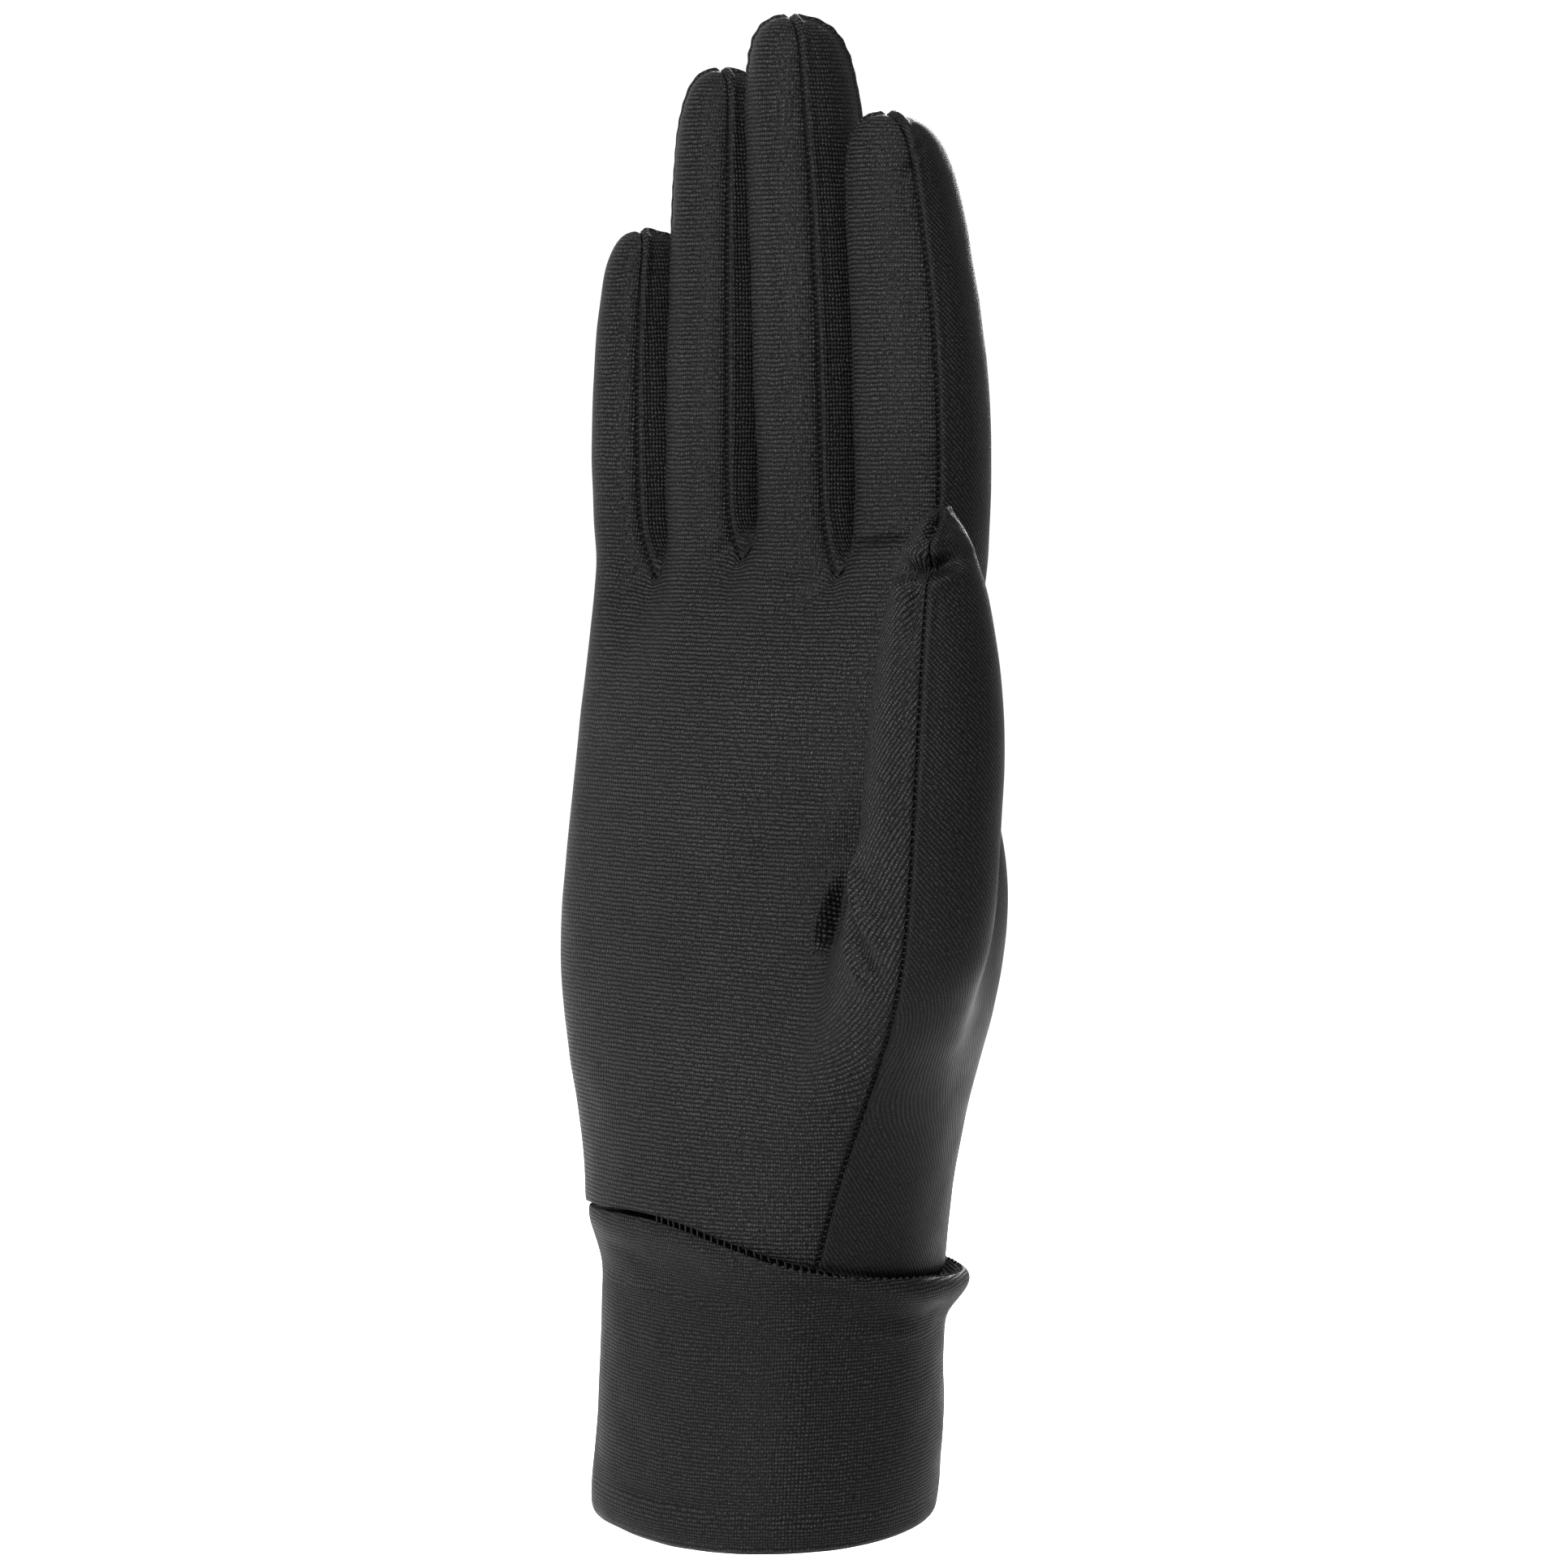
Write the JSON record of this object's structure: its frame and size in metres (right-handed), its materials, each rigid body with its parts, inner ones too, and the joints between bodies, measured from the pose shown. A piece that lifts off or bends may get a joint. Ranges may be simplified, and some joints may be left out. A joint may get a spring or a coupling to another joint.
{
  "type": "running glove",
  "caption": "Thin knitted glove for the right hand with side strips between the fingers and a doubled cuff.",
  "frame": {"origin": "middle of the cuff's mouth, level with the folded hem, where the hand goes in", "axes": "+Z from the cuff to the fingertips, +X to the thumb's side, +Y to the back of the hand"},
  "size_m": [0.1031, 0.0514, 0.2335],
  "materials": {
    "palm_knit": "satin black stretch knit, brushed inside",
    "back_knit": "smooth black stretch knit, brushed inside",
    "strip_knit": "matt black stretch knit, brushed inside",
    "cuff_knit": "matt black stretch knit, doubled"
  },
  "bodies": {
    "root": {"palm_panel": "palm_knit", "back_panel": "back_knit", "strip_little_ring": "strip_knit", "strip_ring_middle": "strip_knit", "strip_middle_index": "strip_knit", "cuff": "cuff_knit"}
  },
  "joints": []
}
